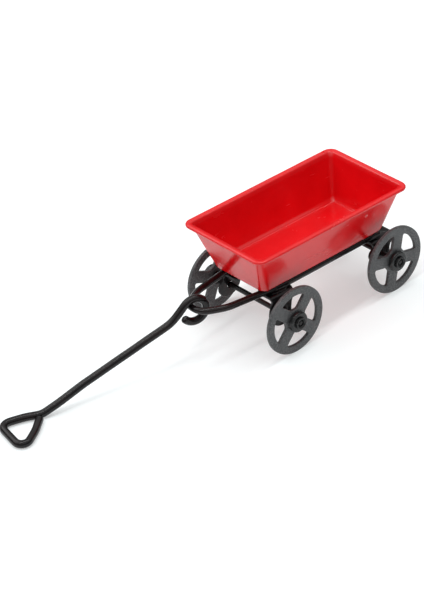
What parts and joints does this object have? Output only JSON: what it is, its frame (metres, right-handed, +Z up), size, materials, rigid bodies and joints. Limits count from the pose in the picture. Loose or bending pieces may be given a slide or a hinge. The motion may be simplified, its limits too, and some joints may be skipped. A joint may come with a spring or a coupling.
{
  "type": "wagon with pull handle",
  "caption": "Miniature red metal pull wagon: a pressed tray on a bent-wire chassis, with stamped spoked wheels on wire axles and a hinged wire handle with a loop grip.",
  "frame": {"origin": "on the floor, under the middle of the whole wagon's length and width with its handle laid down in front", "axes": "+X forward from the tray towards the handle, +Y to the wagon's left, +Z up"},
  "size_m": [0.1278, 0.0376, 0.0331],
  "materials": {
    "tray_red": "gloss enamel",
    "wire_black": "gloss enamel",
    "wheel_grey": "fine-grained satin",
    "hub_black": "satin",
    "axle_black": "gloss enamel"
  },
  "bodies": {
    "wagon": {"tray": "tray_red", "chassis_wire": "wire_black", "front_left_bracket": "wire_black", "front_right_bracket": "wire_black", "rear_left_bracket": "wire_black", "rear_right_bracket": "wire_black", "front_axle": "axle_black", "rear_axle": "axle_black", "front_left_outer_washer": "hub_black", "front_left_inner_washer": "hub_black", "front_left_axle_collar": "hub_black", "front_right_outer_washer": "hub_black", "front_right_inner_washer": "hub_black", "front_right_axle_collar": "hub_black", "rear_left_outer_washer": "hub_black", "rear_left_inner_washer": "hub_black", "rear_left_axle_collar": "hub_black", "rear_right_outer_washer": "hub_black", "rear_right_inner_washer": "hub_black", "rear_right_axle_collar": "hub_black"},
    "front_left_wheel": {"front_left_wheel": "wheel_grey"},
    "front_right_wheel": {"front_right_wheel": "wheel_grey"},
    "rear_left_wheel": {"rear_left_wheel": "wheel_grey"},
    "rear_right_wheel": {"rear_right_wheel": "wheel_grey"},
    "handle": {"pull_handle": "wire_black"}
  },
  "joints": [
    {"name": "front_left_wheel_spin", "type": "hinge", "parent": "wagon", "child": "front_left_wheel", "pos_m": [-0.01586, 0.01595, 0.01], "axis": [0, 1, 0], "continuous": true},
    {"name": "front_right_wheel_spin", "type": "hinge", "parent": "wagon", "child": "front_right_wheel", "pos_m": [-0.01586, -0.01595, 0.01], "axis": [0, 1, 0], "continuous": true},
    {"name": "rear_left_wheel_spin", "type": "hinge", "parent": "wagon", "child": "rear_left_wheel", "pos_m": [-0.05386, 0.01595, 0.01], "axis": [0, 1, 0], "continuous": true},
    {"name": "rear_right_wheel_spin", "type": "hinge", "parent": "wagon", "child": "rear_right_wheel", "pos_m": [-0.05386, -0.01595, 0.01], "axis": [0, 1, 0], "continuous": true},
    {"name": "handle_lift", "type": "hinge", "parent": "wagon", "child": "handle", "pos_m": [0.00526, -0.00106, 0.01767], "axis": [-0.2639, -0.9646, 0], "range_deg": [0, 135]}
  ]
}
